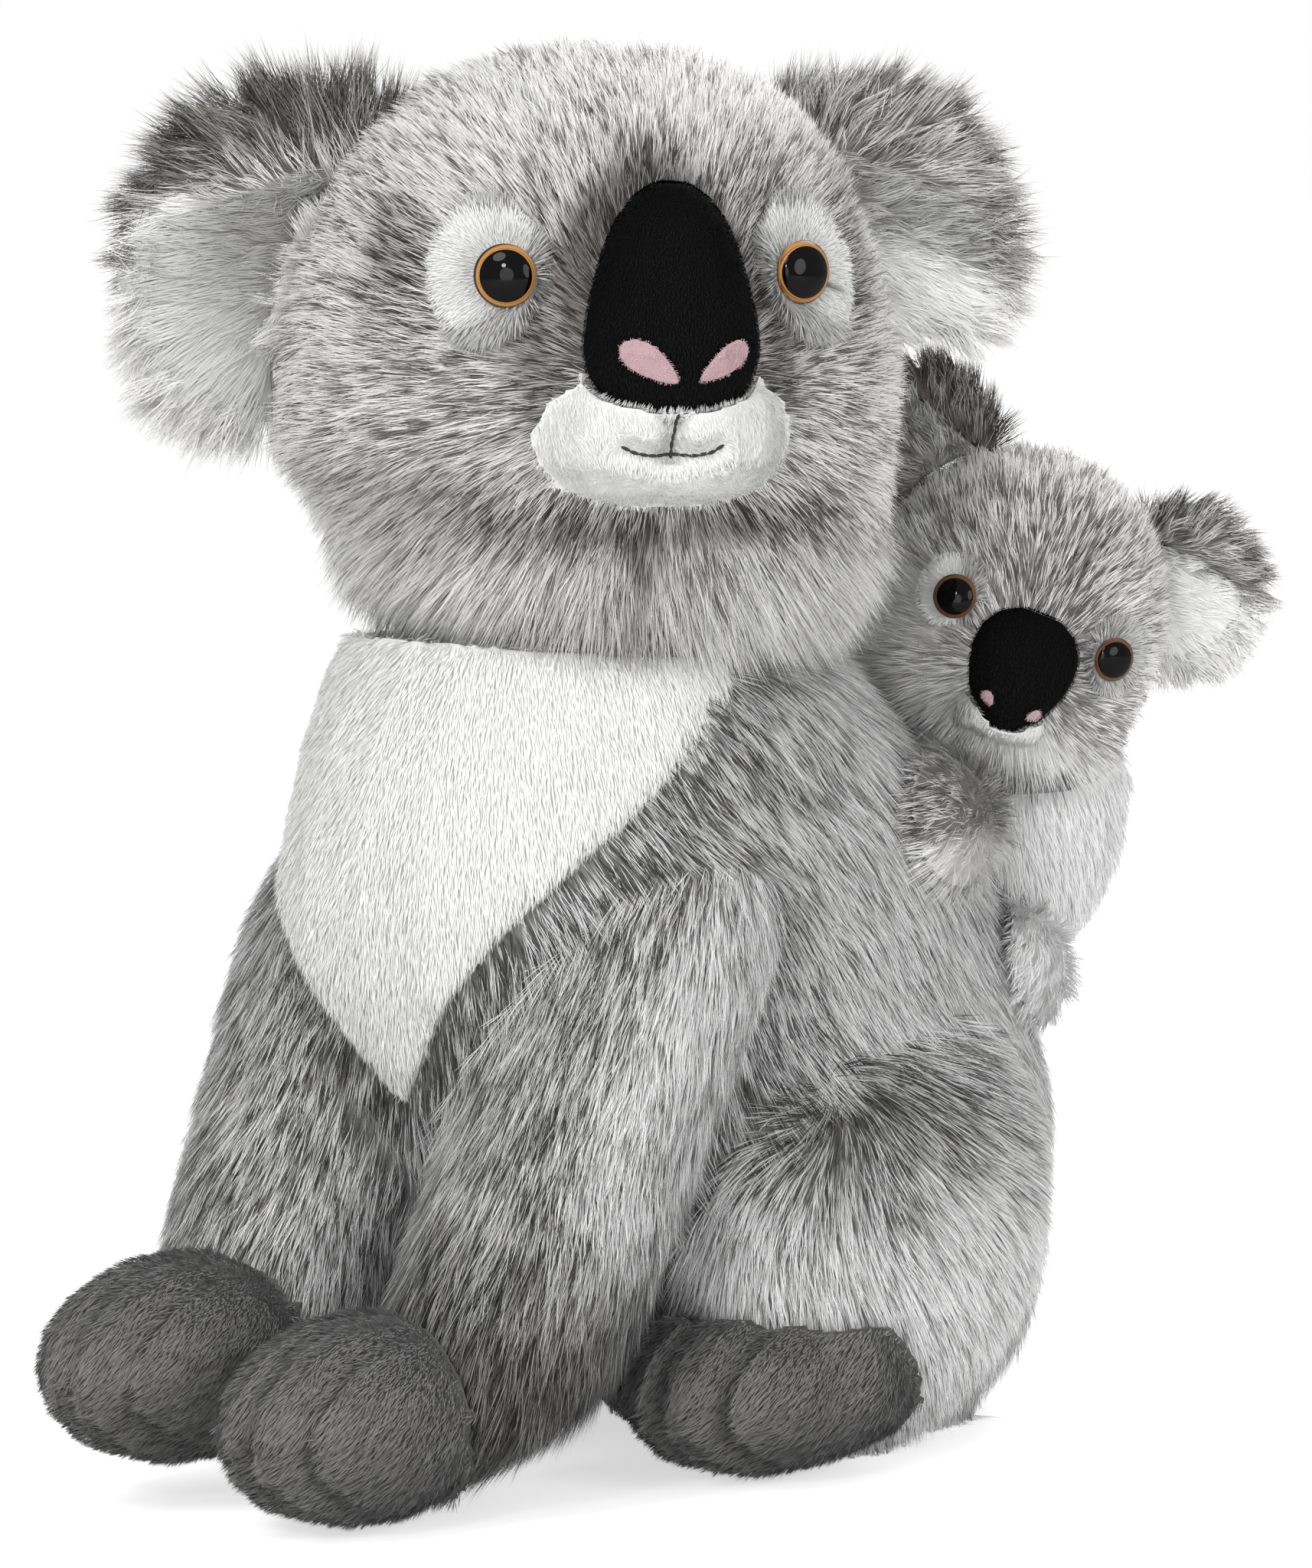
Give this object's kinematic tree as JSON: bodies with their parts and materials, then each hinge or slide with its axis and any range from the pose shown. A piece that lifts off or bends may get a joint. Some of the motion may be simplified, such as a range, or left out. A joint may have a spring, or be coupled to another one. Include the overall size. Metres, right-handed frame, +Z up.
{
  "type": "plush koala",
  "caption": "Sitting plush koala with a small joey clinging behind the shoulder; heads turn softly on the neck and the big round ears bend.",
  "frame": {"origin": "on the table, in the middle of the flat under the seat", "axes": "+Z up; the body faces -Y, and its own left side is +X"},
  "size_m": [0.1728, 0.3327, 0.3415],
  "materials": {
    "grey_plush": "long frosted pile, dark at the root",
    "white_plush": "short soft pile",
    "paw_plush": "short dense pile",
    "nose_velour": "black velour",
    "nostril_felt": "pink felt",
    "amber_eye": "clear dome over an amber ring and a black pupil",
    "brown_eye": "clear dome over a brown ring and a black pupil",
    "washer_plastic": "moulded",
    "filling": "firm polyester filling"
  },
  "bodies": {
    "body": {"torso": "grey_plush", "chest_panel": "white_plush", "arm_left": "grey_plush", "paw_left": "paw_plush", "haunch_left": "grey_plush", "foot_left": "paw_plush", "arm_right": "grey_plush", "paw_right": "paw_plush", "haunch_right": "grey_plush", "foot_right": "paw_plush", "joey_body": "grey_plush", "joey_arm_left": "grey_plush", "joey_arm_right": "grey_plush", "joey_leg_left": "grey_plush", "joey_leg_right": "grey_plush"},
    "neck": {"neck_fill": "filling"},
    "head": {"muzzle": "white_plush", "nose": "nose_velour", "nostril_left": "nostril_felt", "eye_left": "amber_eye", "eye_left_washer": "washer_plastic", "eye_patch_left": "white_plush", "nostril_right": "nostril_felt", "eye_right": "amber_eye", "eye_right_washer": "washer_plastic", "eye_patch_right": "white_plush", "head": "grey_plush"},
    "ear_left": {"ear_left_back": "grey_plush", "ear_left_lining": "white_plush"},
    "ear_right": {"ear_right_back": "grey_plush", "ear_right_lining": "white_plush"},
    "joey_head": {"joey_muzzle": "white_plush", "joey_nose": "nose_velour", "joey_nostril_left": "nostril_felt", "joey_eye_left": "brown_eye", "joey_eye_left_washer": "washer_plastic", "joey_eye_patch_left": "white_plush", "joey_ear_left_back": "grey_plush", "joey_ear_left_lining": "white_plush", "joey_nostril_right": "nostril_felt", "joey_eye_right": "brown_eye", "joey_eye_right_washer": "washer_plastic", "joey_eye_patch_right": "white_plush", "joey_ear_right_back": "grey_plush", "joey_ear_right_lining": "white_plush", "joey_head": "grey_plush"}
  },
  "joints": [
    {"name": "head_turn", "type": "hinge", "parent": "body", "child": "neck", "pos_m": [0, -0.085, 0.212], "axis": [0, 0, 1], "range_deg": [-20, 6], "stiffness_Nm_per_rad": 0.6},
    {"name": "head_nod", "type": "hinge", "parent": "neck", "child": "head", "pos_m": [0, -0.085, 0.212], "axis": [0.5519, 0.8339, 0], "range_deg": [-5, 5], "stiffness_Nm_per_rad": 1.5},
    {"name": "ear_left_flex", "type": "hinge", "parent": "head", "child": "ear_left", "pos_m": [0.02613, -0.01835, 0.292], "axis": [0.1706, 0.2577, -0.9511], "range_deg": [-15, 20], "stiffness_Nm_per_rad": 0.06},
    {"name": "ear_right_flex", "type": "hinge", "parent": "head", "child": "ear_right", "pos_m": [-0.05114, -0.13509, 0.289], "axis": [0.1706, 0.2577, 0.9511], "range_deg": [-15, 20], "stiffness_Nm_per_rad": 0.06},
    {"name": "joey_head_turn", "type": "hinge", "parent": "body", "child": "joey_head", "pos_m": [0.0305, 0.0387, 0.2005], "axis": [0.2433, 0.2849, 0.9272], "range_deg": [-12, 12], "stiffness_Nm_per_rad": 0.12}
  ]
}
